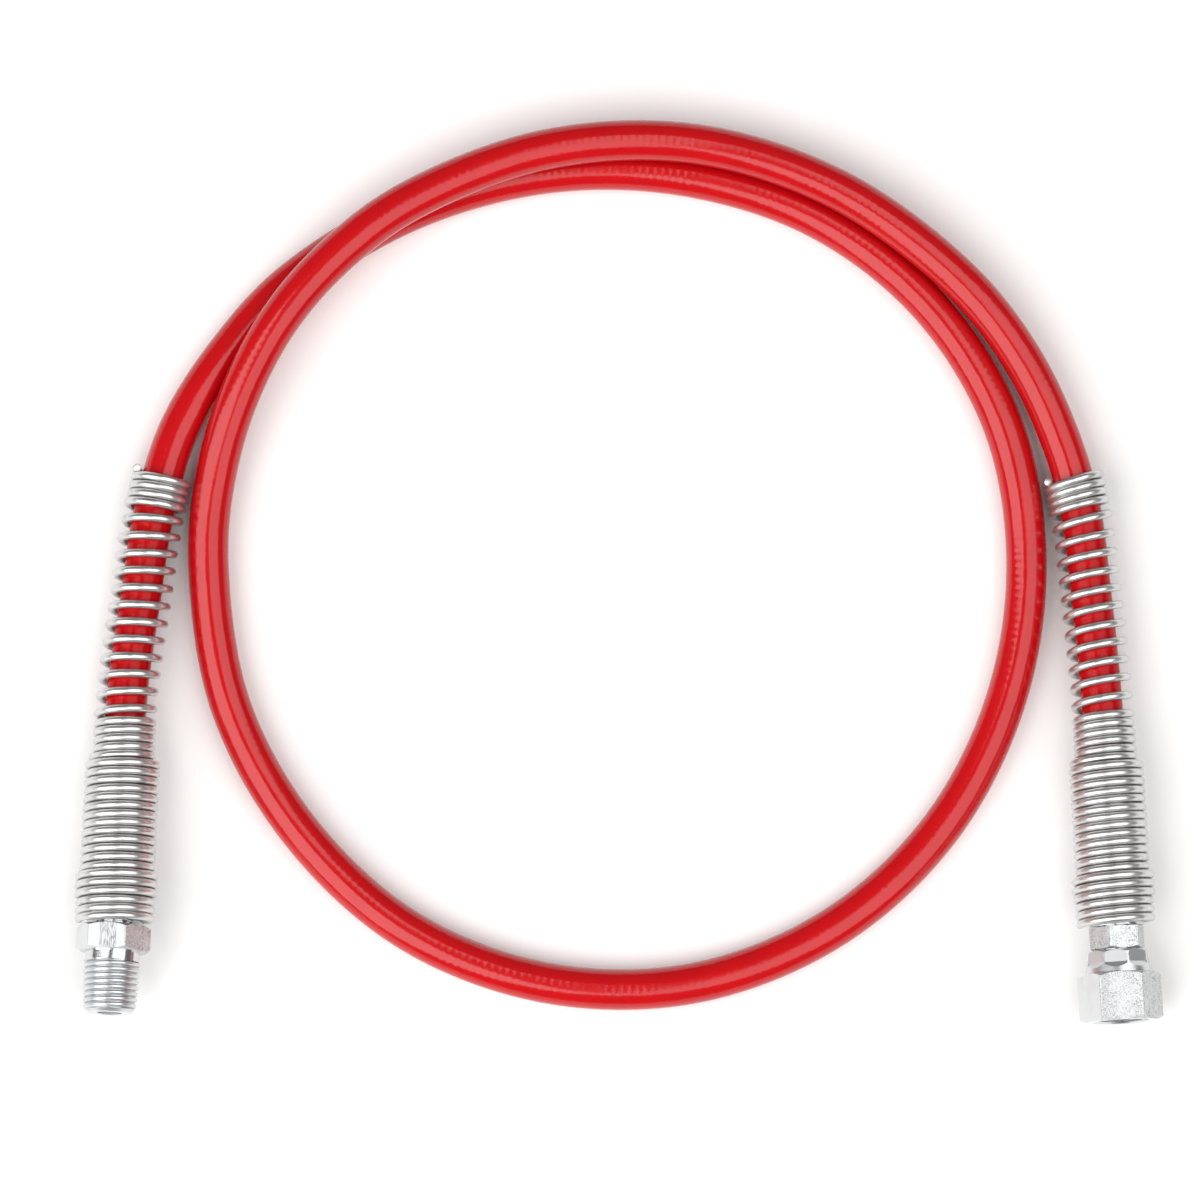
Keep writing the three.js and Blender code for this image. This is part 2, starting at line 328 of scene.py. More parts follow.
@dataclass(frozen=True)
class PlatedSteel:
    """Bright zinc plating over machined bar, with pitted flats and turned rounds."""

    name: str
    place: Matrix
    flat_radius: float  # the surface is a flat of the bar from this far off the axis
    flat_length: float  # the flats end this far out of the shoulder
    scratched: float = 0.0  # how strongly scratches run along the flats
    dull_from: float = 99.0  # the surface is duller between these two distances
    dull_to: float = 99.0
    smooth_side: float = -99.0  # the flats have no pits to the left of this
    colour: Triple = (0.62, 0.63, 0.64)
    flat_colour: Triple = (0.63, 0.64, 0.645)
    pit: Triple = (0.09, 0.09, 0.095)

    def material(self) -> Material:
        """Builds the finish."""
        graph = Graph(self.name)
        place = graph.end_place(self.place)
        x, y, z = graph.parts(place)
        radius = (x * x + y * y).math("SQRT")
        flat = radius.stepped(self.flat_radius - 0.25, self.flat_radius)
        flat = flat * (1.0 - z.stepped(self.flat_length, self.flat_length + 0.2))
        spread = graph.noise(place, 0.5, 2.0).stepped(0.3, 0.6) * 0.5 + 0.5
        pits = self._lines(graph.noise(place, 2.2, 1.0, 0.5)) * spread
        drag = graph.noise(graph.vector(x * 3.0, y * 3.0, z * 0.3), 1.1, 3.0)
        band = 1.0 - (x + 0.9).math("ABSOLUTE").stepped(1.8, 2.2)
        scratches = self._lines(drag) * band * self.scratched
        rings = graph.noise(graph.vector(radius * 2.0, z * 9.0, 0.0), 1.0, 3.0)
        stain = graph.noise(place, 0.3, 3.0).stepped(0.45, 0.75)
        bright = graph.blend(flat, self.colour, self.flat_colour)
        pits = pits * x.stepped(self.smooth_side - 0.2, self.smooth_side)
        marks = pits.math("MAXIMUM", scratches) * flat
        dull = z.stepped(self.dull_from, self.dull_from + 0.3)
        dull = dull * (1.0 - z.stepped(self.dull_to - 0.3, self.dull_to))
        height = (1.0 - marks) * flat + rings * 0.5 * (1.0 - flat)
        graph.surface(
            Base_Color=graph.blend(marks * 0.85 + stain * 0.06, bright, self.pit),
            Metallic=0.97 - flat * 0.3 - dull * 0.1,
            Roughness=0.16 + flat * 0.14 + stain * 0.06 + dull * 0.14,
            Normal=graph.relief(height, 0.025),
        )
        return graph.material

    @staticmethod
    def _lines(value: Channel) -> Channel:
        """Thin winding lines where a noise is about 0.5."""
        return 1.0 - (value - 0.5).math("ABSOLUTE").stepped(0.0, 0.065)


@dataclass(frozen=True)
class PlaitedFibre:
    """Plaited yarn of the reinforcement."""

    yarn: Triple = (0.78, 0.68, 0.4)
    gap: Triple = (0.25, 0.19, 0.09)

    def material(self) -> Material:
        """Builds the finish."""
        graph = Graph("plaited_fibre")
        right, left = graph.yarns(*graph.tube_place())
        weave = (right.sine() * left.sine()).math("ABSOLUTE")
        strand = graph.noise(graph.vector(right, left, 0.0), 2.5, 3.0)
        height = weave * 0.8 + strand * 0.2
        graph.surface(
            Base_Color=graph.blend(height.stepped(0.05, 0.5), self.gap, self.yarn),
            Roughness=0.65 + strand * 0.2,
            Normal=graph.relief(height, 0.15),
        )
        return graph.material


@dataclass(frozen=True)
class NaturalNylon:
    """Milky nylon of the core tube."""

    colour: Triple = (0.85, 0.82, 0.7)
    shade: Triple = (0.74, 0.7, 0.56)

    def material(self) -> Material:
        """Builds the finish."""
        graph = Graph("natural_nylon")
        place = graph.object_place()
        cloud = graph.noise(place, 0.4, 3.0)
        graph.surface(
            Base_Color=graph.blend(cloud, self.colour, self.shade),
            Roughness=0.3 + cloud * 0.15,
            Normal=graph.relief(graph.noise(place, 2.0, 2.0), 0.01),
        )
        return graph.material


@dataclass(frozen=True)
class PaleFloor:
    """The plain pale floor."""

    colour: Triple = (0.88, 0.875, 0.865)

    def material(self) -> Material:
        """Builds the finish."""
        graph = Graph("pale_floor")
        graph.surface(Base_Color=self.colour, Roughness=0.8, IOR=1.3)
        return graph.material


# ---------------- the line of the hose


@dataclass(frozen=True)
class HoseEnd:
    """One end of the hose: the fitting's shoulder and the way its axis points."""

    shoulder: Triple
    lean: float  # sideways, in degrees
    rise: float  # upwards, in degrees

    def outward(self) -> Vector:
        """The unit vector out of the fitting."""
        lean, rise = math.radians(self.lean), math.radians(self.rise)
        flat = math.cos(rise)
        return Vector((math.sin(lean) * flat, -math.cos(lean) * flat, math.sin(rise)))

    def behind(self, distance: float) -> Vector:
        """The point on the straight axis that far behind the shoulder."""
        return Vector(self.shoulder) - self.outward() * distance

    def place(self) -> Matrix:
        """The end's own frame, in millimetres."""
        return upright_frame(Vector(self.shoulder), self.outward())


def frame_of(side: Vector, up: Vector, out: Vector, origin: Vector) -> Matrix:
    """A frame from its three unit axes and its origin."""
    made = Matrix((side, up, out)).transposed().to_4x4()
    made.translation = origin
    return made


def upright_frame(origin: Vector, axis: Vector) -> Matrix:
    """A frame with +Z along an axis and +Y as near straight up as can be.

    Args:
        origin: The frame's origin.
        axis: A unit vector that isn't upright.

    Returns:
        The frame.
    """
    side = UP.cross(axis).normalized()
    return frame_of(side, axis.cross(side), axis, origin)


@dataclass
class HoseLine:
    """The line that the middle of the hose follows from the male shoulder to the swivel's."""

    male: HoseEnd = HoseEnd((-120.4, -84.8, 11.6), -2.7, 3.6)
    swivel: HoseEnd = HoseEnd((118.8, -85.1, 10.2), 3.2, 1.0)
    straight: float = 36.0  # length of the ferrules, along which the hose is straight
    male_run: tuple = ((-117.5, -28, 8.4), (-114.5, -6, 7.8), (-111.5, 14, 7.7))
    swivel_run: tuple = ((115.5, -28, 8.6), (113.5, -7, 7.9), (111, 14, 7.7))
    coil_centre: tuple[float, float] = (0.5, 1.5)
    # Turn of each point in degrees, its radius and its height, all the way round the coil.
    coil: tuple = (
        (163, 111, 6.8), (151, 107.5, 5.5), (139, 104.5, 5), (120, 99.5, 5), (100, 96.5, 5),
        (80, 95.5, 5), (60, 96.5, 5), (40, 97.5, 5), (20, 98, 5), (0, 97.5, 5),
        (-20, 98, 5), (-40, 99.5, 5), (-60, 101, 5), (-80, 102, 5), (-100, 102, 5),
        (-120, 101.5, 5), (-140, 100, 5), (-160, 99.5, 5), (-180, 99, 5.2),
        (-192, 99.5, 7.4), (-204, 100, 11.5), (-216, 100.5, 14.2), (-228, 100.5, 15.2),
        (-240, 100.5, 15.2), (-260, 101, 14.4), (-280, 102.5, 12.8), (-300, 104, 12.2),
        (-320, 106.5, 10.3), (-333, 108.5, 8.4), (-345, 110, 7.6),
    )
    samples: int = 60  # short steps between two points of the route
    line: list[Vector] = field(default_factory=list)
    travelled: list[float] = field(default_factory=list)

    def __post_init__(self) -> None:
        """Works out the smooth line and the distance along it."""
        points = self.route()
        padded = [2 * points[0] - points[1], *points, 2 * points[-1] - points[-2]]
        for around in zip(padded, padded[1:], padded[2:], padded[3:]):
            self.line.extend(self.span(around, step / self.samples) for step in range(self.samples))
        self.line.append(points[-1])
        self.travelled.append(0.0)
        for before, after in zip(self.line, self.line[1:]):
            self.travelled.append(self.travelled[-1] + (after - before).length)

    @property
    def length(self) -> float:
        """The length of the line from shoulder to shoulder."""
        return self.travelled[-1]

    def route(self) -> list[Vector]:
        """The points that the line passes through."""
        behind = (0.0, self.straight / 2, self.straight)
        coil = [self._coil_point(*point) for point in self.coil]
        return [
            *(self.male.behind(distance) for distance in behind),
            *(Vector(point) for point in self.male_run),
            *coil,
            *(Vector(point) for point in reversed(self.swivel_run)),
            *(self.swivel.behind(distance) for distance in reversed(behind)),
        ]

    def _coil_point(self, turn: float, radius: float, height: float) -> Vector:
        """A point of the coil from its turn in degrees, its radius and its height."""
        angle = math.radians(turn)
        x, y = self.coil_centre
        return Vector((x + radius * math.cos(angle), y + radius * math.sin(angle), height))

    @staticmethod
    def span(around: Sequence[Vector], share: float) -> Vector:
        """A point of a centripetal spline between the middle two of four points.

        Args:
            around: The four points.
            share: How far the point is from the second to the third.

        Returns:
            The point.
        """
        a, b, c, d = around
        ab, bc, cd = (math.sqrt((q - p).length) for p, q in ((a, b), (b, c), (c, d)))
        leave = ((b - a) / ab - (c - a) / (ab + bc) + (c - b) / bc) * bc
        arrive = ((c - b) / bc - (d - b) / (bc + cd) + (d - c) / cd) * bc
        bend = 3 * (c - b) - 2 * leave - arrive
        twist = 2 * (b - c) + leave + arrive
        return b + leave * share + bend * share**2 + twist * share**3

    def point(self, distance: float) -> Vector:
        """The point that far along the line."""
        index = min(max(bisect_right(self.travelled, distance), 1), len(self.line) - 1)
        before, after = self.travelled[index - 1], self.travelled[index]
        return self.line[index - 1].lerp(self.line[index], (distance - before) / (after - before))

    def frame_at(self, distance: float, backwards: bool = False) -> Matrix:
        """A frame on the line, with +Z along it.

        Args:
            distance: How far along the line, from its own start.
            backwards: Whether it is measured and points from the swivel end instead.

        Returns:
            The frame.
        """
        sign = -1.0 if backwards else 1.0
        here = self.length - distance if backwards else distance
        axis = (self.point(here + 0.5) - self.point(here - 0.5)) * sign
        return upright_frame(self.point(here), axis.normalized())


# ---------------- shaping solids


def linked(name: str, data: bpy.types.ID) -> Object:
    """A new object in the scene."""
    made = bpy.data.objects.new(name, data)
    bpy.context.scene.collection.objects.link(made)
    return made


def eased(
    shape: Mesh, geom: Sequence, offset: float, segments: int, affect: str
) -> None:
    """Rounds off edges or corners of a shape."""
    bmesh.ops.bevel(
        shape, geom=geom, offset=offset, offset_type="OFFSET", segments=segments,
        profile=0.5, affect=affect, clamp_overlap=True, material=-1,
    )


def raised(
    shape: Mesh, faces: Sequence[bmesh.types.BMFace], way: Triple
) -> list[bmesh.types.BMVert]:
    """Extrudes faces along a way, and finds the points that moved."""
    made = bmesh.ops.extrude_face_region(shape, geom=faces)["geom"]
    tops = [part for part in made if isinstance(part, bmesh.types.BMVert)]
    bmesh.ops.translate(shape, verts=tops, vec=way)
    return tops


class Action(Enum):
    """What a tool does to a piece of stock."""

    JOIN = "UNION"
    CUT = "DIFFERENCE"
    KEEP = "INTERSECT"


class Stock:
    """A closed solid about the Z axis, in millimetres, while it is being machined."""

    ROUND_SIDES = 96

    def __init__(self, shape: Mesh) -> None:
        """Takes over a closed shape, which is freed with the stock."""
        self.shape = shape

    @classmethod
    def turned(cls, outline: Outline, ease: float = 0.0) -> Stock:
        """Turns an outline about the axis.

        Args:
            outline: (radius, height) pairs that start and end on the axis, or that close on
                themselves where the first radius isn't 0.
            ease: How much each corner is rounded off.

        Returns:
            The turned solid.
        """
        shape = bmesh.new()
        corners = [shape.verts.new((radius, 0.0, height)) for radius, height in outline]
        pairs = list(zip(corners, corners[1:]))
        if outline[0][0] > 0.0:
            pairs.append((corners[-1], corners[0]))
        for pair in pairs:
            shape.edges.new(pair)
        if ease > 0.0:
            outer = [corner for corner in corners if corner.co.x > 0.0]
            eased(shape, outer, ease, 3, "VERTICES")
        bmesh.ops.spin(
            shape, geom=shape.verts[:] + shape.edges[:], cent=(0, 0, 0), axis=(0, 0, 1),
            dvec=(0, 0, 0), angle=2 * math.pi, steps=cls.ROUND_SIDES, use_merge=True,
        )
        return cls(shape).tidied()

    @classmethod
    def hexagon(cls, flats: float, low: float, high: float, roll: float) -> Stock:
        """A hexagonal bar with slightly rounded corners.

        Args:
            flats: Its width across flats.
            low: Where it starts on the axis.
            high: Where it ends.
            roll: How far one flat is turned from uppermost, in degrees.

        Returns:
            The bar.
        """
        shape = bmesh.new()
        turn = Matrix.Rotation(math.radians(roll + 30), 4, "Z")
        bmesh.ops.create_circle(
            shape, cap_ends=True, radius=flats / math.sqrt(3), segments=6,
            matrix=Matrix.Translation((0, 0, low)) @ turn,
        )
        raised(shape, shape.faces[:], (0, 0, high - low))
        upright = [e for e in shape.edges if abs(e.verts[0].co.z - e.verts[1].co.z) > 0.1]
        eased(shape, upright, 0.22, 3, "EDGES")
        return cls(shape).tidied()

    @classmethod
    def thread(
        cls, crest: float, depth: float, pitch: float, low: float, high: float, taper: float
    ) -> Stock:
        """A right-handed threaded rod.

        Args:
            crest: Its radius over the crests at its low end.
            depth: The depth of the thread.
            pitch: The distance from crest to crest.
            low: Where it starts on the axis.
            high: Where it ends.
            taper: How much the radius shrinks for each millimetre along the axis.

        Returns:
            The rod.
        """
        root = crest - depth
        shape = bmesh.new()
        side = crest - depth * 0.22
        tooth = [(root, 0.0), (root, 0.05), (side, 0.24), (crest, 0.4)]
        tooth += [(crest, 0.64), (side, 0.82), (root, 1.0)]
        corners = [shape.verts.new((radius, 0, low + (share - 2) * pitch)) for radius, share in tooth]
        for pair in zip(corners, corners[1:]):
            shape.edges.new(pair)
        turns = math.ceil((high - low) / pitch) + 4
        steps = 72
        bmesh.ops.spin(
            shape, geom=shape.verts[:] + shape.edges[:], cent=(0, 0, 0), axis=(0, 0, 1),
            dvec=(0, 0, pitch / steps), angle=2 * math.pi * turns, steps=steps * turns,
        )
        bmesh.ops.remove_doubles(shape, verts=shape.verts[:], dist=1e-3)
        for vert in shape.verts:
            reach = math.hypot(vert.co.x, vert.co.y)
            scale = (reach - (vert.co.z - low) * taper) / reach
            vert.co.x *= scale
            vert.co.y *= scale
        for height, facing in ((low, -1), (high, 1)):
            bmesh.ops.bisect_plane(
                shape, geom=shape.verts[:] + shape.edges[:] + shape.faces[:], dist=1e-5,
                plane_co=(0, 0, height), plane_no=(0, 0, facing), clear_outer=True,
            )
        rims = [edge for edge in shape.edges if edge.is_boundary]
        bmesh.ops.holes_fill(shape, edges=rims, sides=0)
        return cls(shape).tidied()

    def tidied(self) -> Stock:
        """Merges doubled points and turns every face outwards."""
        bmesh.ops.remove_doubles(self.shape, verts=self.shape.verts[:], dist=1e-4)
        bmesh.ops.recalc_face_normals(self.shape, faces=self.shape.faces[:])
        return self

    def machined(self, tool: Stock, action: Action) -> Stock:
        """Uses another solid as a tool on this one. Both are used up.

        Args:
            tool: The other solid.
            action: What it does.

        Returns:
            The result.
        """
        work, other = self._as_object("work"), tool._as_object("tool")
        step = work.modifiers.new("step", "BOOLEAN")
        step.operation = action.value
        step.object = other
        step.solver = "EXACT"
        seen = work.evaluated_get(bpy.context.evaluated_depsgraph_get())
        made = bpy.data.meshes.new_from_object(seen)
        shape = bmesh.new()
        shape.from_mesh(made)
        for spent in (work, other):
            mesh = spent.data
            bpy.data.objects.remove(spent)
            bpy.data.meshes.remove(mesh)
        bpy.data.meshes.remove(made)
        return Stock(shape)

    def _as_object(self, name: str) -> Object:
        """A scene object of this stock, whose own shape is freed."""
        mesh = bpy.data.meshes.new(name)
        self.shape.to_mesh(mesh)
        self.shape.free()
        return linked(name, mesh)


def chamfered_hexagon(
    flats: float, low: float, high: float, roll: float, cuts: tuple[bool, bool]
) -> Stock:
    """A hexagon whose corners are turned away by a 30 degree cone.

    Args:
        flats: Its width across flats.
        low: Where it starts on the axis.
        high: Where it ends.
        roll: How far one flat is turned from uppermost, in degrees.
        cuts: Whether its low end and its high end are cut.

    Returns:
        The hexagon.
    """
    corner = flats / math.sqrt(3) + 0.5
    seat = flats / 2 - 0.1
    depth = (corner - seat) * math.tan(math.radians(30))
    outline = [(0.0, low)]
    outline += [(seat, low), (corner, low + depth)] if cuts[0] else [(corner, low)]
    outline += [(corner, high - depth), (seat, high)] if cuts[1] else [(corner, high)]
    outline.append((0.0, high))
    bar = Stock.hexagon(flats, low - 1, high + 1, roll)
    return bar.machined(Stock.turned(outline), Action.KEEP)


# ---------------- finishing pieces


def dressed(
    name: str, shape: Mesh, material: Material, place: Matrix = Matrix.Identity(4),
    slot: str = "plated_steel", body: str = HOSE_BODY, sharp: float = 12.0,
) -> Object:
    """Makes a finished piece that stands for the CAD node of the same name.

    Args:
        name: The node's name.
        shape: The piece's shape in millimetres, which is freed.
        material: Its finish.
        place: The frame that the shape was made in.
        slot: The name of a material slot; not used.
        body: The body that it rides on.
        sharp: Edges that turn by more than this, in degrees, stay crisp.

    Returns:
        The piece.
    """
    scale = Matrix.Scale(METRES, 4)
    bmesh.ops.transform(shape, matrix=scale @ place, verts=shape.verts[:])
    mesh = bpy.data.meshes.new(name)
    for face in shape.faces:
        face.smooth = True
    shape.to_mesh(mesh)
    shape.free()
    mesh.set_sharp_from_angle(angle=math.radians(sharp))
    mesh.materials.append(material)
    piece = linked(f"{name}_finished", mesh)
    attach(piece, body)
    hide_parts(name)
    LOG.info("%s: %d points, %d faces", name, len(mesh.vertices), len(mesh.polygons))
    return piece


def rolled_tube(
    frame_at: Callable[[float], Matrix], low: float, high: float, radius: float,
    rows: int, sides: int,
) -> Mesh:
    """Rolls a sheet into an open tube around a line.

    Args:
        frame_at: The frame on the line at a distance along it.
        low: The distance at which the tube starts.
        high: The distance at which it ends.
        radius: Its radius.
        rows: How many short lengths it is made of.
        sides: How many strips go round it.

    Returns:
        The tube. Its UV map holds the distance along it in millimetres and the turn round it.
    """
    shape = bmesh.new()
    uv = shape.loops.layers.uv.new("UVMap")
    bmesh.ops.create_grid(shape, x_segments=sides, y_segments=rows, size=1.0)
    for face in shape.faces:
        for loop in face.loops:
            flat = loop.vert.co
            loop[uv].uv = (low + (flat.y + 1) / 2 * (high - low), (flat.x + 1) / 2)
    places: dict[int, Matrix] = {}
    for vert in shape.verts:
        turn, share = (vert.co.x + 1) * math.pi, (vert.co.y + 1) / 2
        row = round(share * rows)
        if row not in places:
            places[row] = frame_at(low + (high - low) * row / rows)
        vert.co = places[row] @ Vector((radius * math.cos(turn), radius * math.sin(turn), 0.0))
    bmesh.ops.remove_doubles(shape, verts=shape.verts[:], dist=radius * 1e-3)
    return shape


# ---------------- the hose


class Layer(Enum):
    """The layers of the hose from outside in: outer and inner radius."""

    HOSE_COVER = (4.9, 4.4)
    OUTER_BRAID = (4.05, 3.8)
    INNER_BRAID = (3.5, 3.25)
    CORE_TUBE = (2.95, 2.4)


@dataclass
class Hose:
    """The four layers of the hose."""

    line: HoseLine
    cut_back: float = 6.0  # from a fitting's shoulder to the cut end of the hose
    rows: int = 900
    sides: int = 40

    def build(self) -> dict[Layer, Object]:
        """Makes and dresses every layer.

        Returns:
            The pieces by layer.
        """
        fibre = PlaitedFibre().material()
        finishes = {
            Layer.HOSE_COVER: (RedCover(self.line.length / 2).material(), "hose_cover"),
            Layer.OUTER_BRAID: (fibre, "braid"),
            Layer.INNER_BRAID: (fibre, "braid"),
            Layer.CORE_TUBE: (NaturalNylon().material(), "core_tube"),
        }
        return {layer: self._layer(layer, *finish) for layer, finish in finishes.items()}

    def _layer(self, layer: Layer, finish: Material, slot: str) -> Object:
        """Makes one layer as a tube with a wall.

        Args:
            layer: Which layer.
            finish: Its material.
            slot: Its material slot.

        Returns:
            The piece.
        """
        outer, inner = layer.value
        rows, sides = (self.rows, self.sides) if layer is Layer.HOSE_COVER else (400, 24)
        low, high = self.cut_back, self.line.length - self.cut_back
        shape = rolled_tube(self.line.frame_at, low, high, outer, rows, sides)
        bmesh.ops.solidify(shape, geom=shape.faces[:], thickness=outer - inner)
        return dressed(layer.name.lower(), shape, finish, slot=slot, sharp=50.0)

    def path(self) -> list[Triple]:
        """The hose's middle line in metres, close enough together to have its length."""
        steps = 560
        low, high = self.cut_back, self.line.length - self.cut_back
        distances = (low + (high - low) * step / steps for step in range(steps + 1))
        return [tuple(self.line.point(distance) * METRES) for distance in distances]


# ---------------- the spring guards


@dataclass(frozen=True)
class Winding:
    """A stretch of a spring: its turns, its pitch and its outer diameter."""

    turns: float
    pitch: float
    outer: float


FITTING_WINDINGS = (Winding(2.5, 2.0, 19.0), Winding(3.0, 2.075, 20.0))
GRIP_WINDINGS = (Winding(4.01, 1.99, 14.9),)
MALE_WINDINGS = (
    *FITTING_WINDINGS,
    Winding(13.3, 2.06, 18.1), Winding(5.06, 2.06, 15.1), Winding(12.18, 4.22, 15.1),
    *GRIP_WINDINGS,
)
SWIVEL_WINDINGS = (
    *FITTING_WINDINGS,
    Winding(13.4, 2.03, 18.1), Winding(5.45, 2.03, 15.1), Winding(11.69, 4.34, 15.1),
    *GRIP_WINDINGS,
)


@dataclass
class SpringGuard:
    """The long spring over one end of the hose, wound right-handed from the fitting."""

    name: str
    line: HoseLine
    backwards: bool
    seed: float
    windings: tuple[Winding, ...]
    wire: float = 1.98
    start: float = 0.2  # from the shoulder to the middle of the first turn's wire
    blend: float = 0.4  # each change of diameter is spread over this much of a turn
    steps_per_turn: int = 44
    sides: int = 14

    def build(self, finish: Material) -> Object:
        """Makes and dresses the spring.

        Args:
            finish: The wire's finish.

        Returns:
            The piece.
        """
        turns = sum(winding.turns for winding in self.windings)
        rows = math.ceil(turns * self.steps_per_turn)
        length = self._wire_length(turns, rows)
        shape = rolled_tube(
            lambda travel: self._wire_frame(travel / length * turns),
            0.0, length, self.wire / 2, rows, self.sides,
        )
        caps = [edge for edge in shape.edges if edge.is_boundary]
        faces = bmesh.ops.holes_fill(shape, edges=caps, sides=0)["faces"]
        eased(shape, [edge for face in faces for edge in face.edges], 0.12, 2, "EDGES")
        bmesh.ops.recalc_face_normals(shape, faces=shape.faces[:])
        return dressed(self.name, shape, finish, slot="spring_wire", sharp=50.0)

    def _wire_length(self, turns: float, rows: int) -> float:
        """The length of the wire."""
        points = [self._wire_point(turns * row / rows) for row in range(rows + 1)]
        return sum((after - before).length for before, after in zip(points, points[1:]))

    def _winding_at(self, turn: float) -> tuple[float, float]:
        """How far along the hose the wire has come, and its radius there.

        Args:
            turn: How many turns the wire has made.

        Returns:
            The distance from the shoulder and the radius of the wire's middle.
        """
        begun, distance, before = 0.0, self.start, self.windings[0]
        for winding in self.windings:
            done = min(max(turn - begun, 0.0), winding.turns)
            distance += done * winding.pitch
            if turn <= begun + winding.turns or winding is self.windings[-1]:
                share = min(max((turn - begun) / self.blend, 0.0), 1.0)
                share = share * share * (3 - 2 * share)
                outer = before.outer + (winding.outer - before.outer) * share
                return distance, (outer - self.wire) / 2
            begun += winding.turns
            before = winding
        raise ValueError("a spring needs a winding")

    def _wire_point(self, turn: float) -> Vector:
        """The middle of the wire after some turns."""
        distance, radius = self._winding_at(turn)
        unevenness = noise.noise(Vector((turn * 0.9, self.seed, 0.0)))
        place = self.line.frame_at(distance + unevenness * 0.12, self.backwards)
        angle = 2 * math.pi * turn
        reach = radius + noise.noise(Vector((turn * 1.3, self.seed, 5.0))) * 0.08
        return place @ Vector((reach * math.cos(angle), reach * math.sin(angle), 0.0))

    def _wire_frame(self, turn: float) -> Matrix:
        """A frame on the wire after some turns, which keeps one side towards the hose."""
        here = self._wire_point(turn)
        axis = (self._wire_point(turn + 0.005) - self._wire_point(turn - 0.005)).normalized()
        middle = self.line.frame_at(self._winding_at(turn)[0], self.backwards).translation
        inward = (middle - here).normalized()
        up = axis.cross(inward).normalized()
        return frame_of(up.cross(axis), up, axis, here)


# ---------------- the ends


@dataclass(frozen=True)
class Tail:
    """The part of a fitting inside the hose: a spigot, then a barbed nipple."""

    spigot: float = 4.0
    spigot_length: float = 5.4
    barb: float = 1.95
    root: float = 1.75
    length: float = 34.0
    barbs: int = 8
    bore: float = 1.2

    def outline(self) -> list[tuple[float, float]]:
        """The outside from the axis at its far end to the shoulder."""
        pitch = (self.length - self.spigot_length) / self.barbs
        points = [(0.0, -self.length)]
        for index in range(self.barbs, 0, -1):
            foot = -self.spigot_length - index * pitch
            points += [(self.root, foot), (self.barb, foot + pitch)]
        return [*points, (self.spigot, -self.spigot_length)]


@dataclass
class Ferrule:
    """The sleeve that is swaged on to the hose over the nipple."""

    name: str
    place: Matrix
    outer: float = 6.6
    inner: float = 5.2
    throat: float = 4.3
    length: float = 36.0
    lip: float = 5.4
    end: float = 0.6  # past the shoulder
    crimps: int = 7

    def build(self) -> Object:
        """Makes and dresses the sleeve.

        Returns:
            The piece.
        """
        finish = PlatedSteel(f"{self.name}_plating", self.place, NO_FLATS, 1.0)
        pitch = (self.length - self.lip - 4) / self.crimps
        outline = [(self.throat, self.end), (self.throat, -self.lip), (self.inner, -self.lip)]
        outline += [(self.inner, -self.length), (self.outer - 0.3, -self.length)]
        for index in range(self.crimps, 0, -1):
            low = -self.lip - 1 - index * pitch
            outline += [(self.outer, low), (self.outer, low + pitch * 0.35)]
            outline += [(self.outer - 0.25, low + pitch * 0.45), (self.outer - 0.25, low + pitch * 0.9)]
        outline += [(self.outer, -self.lip), (self.outer, self.end)]
        sleeve = Stock.turned(outline, ease=0.12)
        return dressed(self.name, sleeve.shape, finish.material(), self.place)


@dataclass
class MaleFitting:
    """The fitting with the taper pipe thread."""

    place: Matrix
    tail: Tail = Tail()
    flats: float = 15.875
    hex_start: float = 0.9
    hex_end: float = 7.2
    roll: float = 9.0
    neck: float = 6.5
    neck_end: float = 9.6
    crest: float = 6.8
    thread_depth: float = 0.7
    tip: float = 21.9
    taper: float = 1 / 32
    bore: float = 3.0
    bore_depth: float = 12.0

    def build(self) -> Object:
        """Makes and dresses the fitting.

        Returns:
            The piece.
        """
        finish = PlatedSteel(
            "male_plating", self.place, self.flats / 2, self.hex_end,
            scratched=0.9, dull_from=self.neck_end, dull_to=40.0, smooth_side=3.3,
        )
        foot, neck_end = self.hex_start + 0.5, self.neck_end
        core = Stock.turned([
            *self.tail.outline(), (self.tail.spigot, foot), (self.neck, foot),
            (self.neck, neck_end), (0.0, neck_end),
        ])
        body = core.machined(self._hexagon(), Action.JOIN)
        body = body.machined(self._thread(), Action.JOIN)
        body = body.machined(self._bore(), Action.CUT)
        return dressed("male_fitting", body.shape, finish.material(), self.place)

    def _hexagon(self) -> Stock:
        """The hexagon, chamfered at both ends."""
        return chamfered_hexagon(self.flats, self.hex_start, self.hex_end, self.roll, (True, True))

    def _thread(self) -> Stock:
        """The thread, with its first turn chamfered at the tip."""
        low = self.neck_end - 0.2
        rod = Stock.thread(self.crest, self.thread_depth, PIPE_PITCH, low, self.tip, self.taper)
        end = self.crest - (self.tip - low) * self.taper
        reach = self.crest + 1
        envelope = Stock.turned([
            (0.0, low - 1), (reach, low - 1), (reach, self.tip - 1.1 - (reach - end)),
            (end - 1.1, self.tip), (0.0, self.tip),
        ])
        return rod.machined(envelope, Action.KEEP)

    def _bore(self) -> Stock:
        """The way through, with a wide mouth that ends in a drill point."""
        floor = self.tip - self.bore_depth
        return Stock.turned([
            (0.0, -self.tail.length - 1), (self.tail.bore, -self.tail.length - 1),
            (self.tail.bore, floor - 1.0), (self.bore, floor), (self.bore, self.tip - 0.12),
            (self.bore + 0.2, self.tip + 0.08), (self.bore + 0.2, self.tip + 1),
            (0.0, self.tip + 1),
        ])


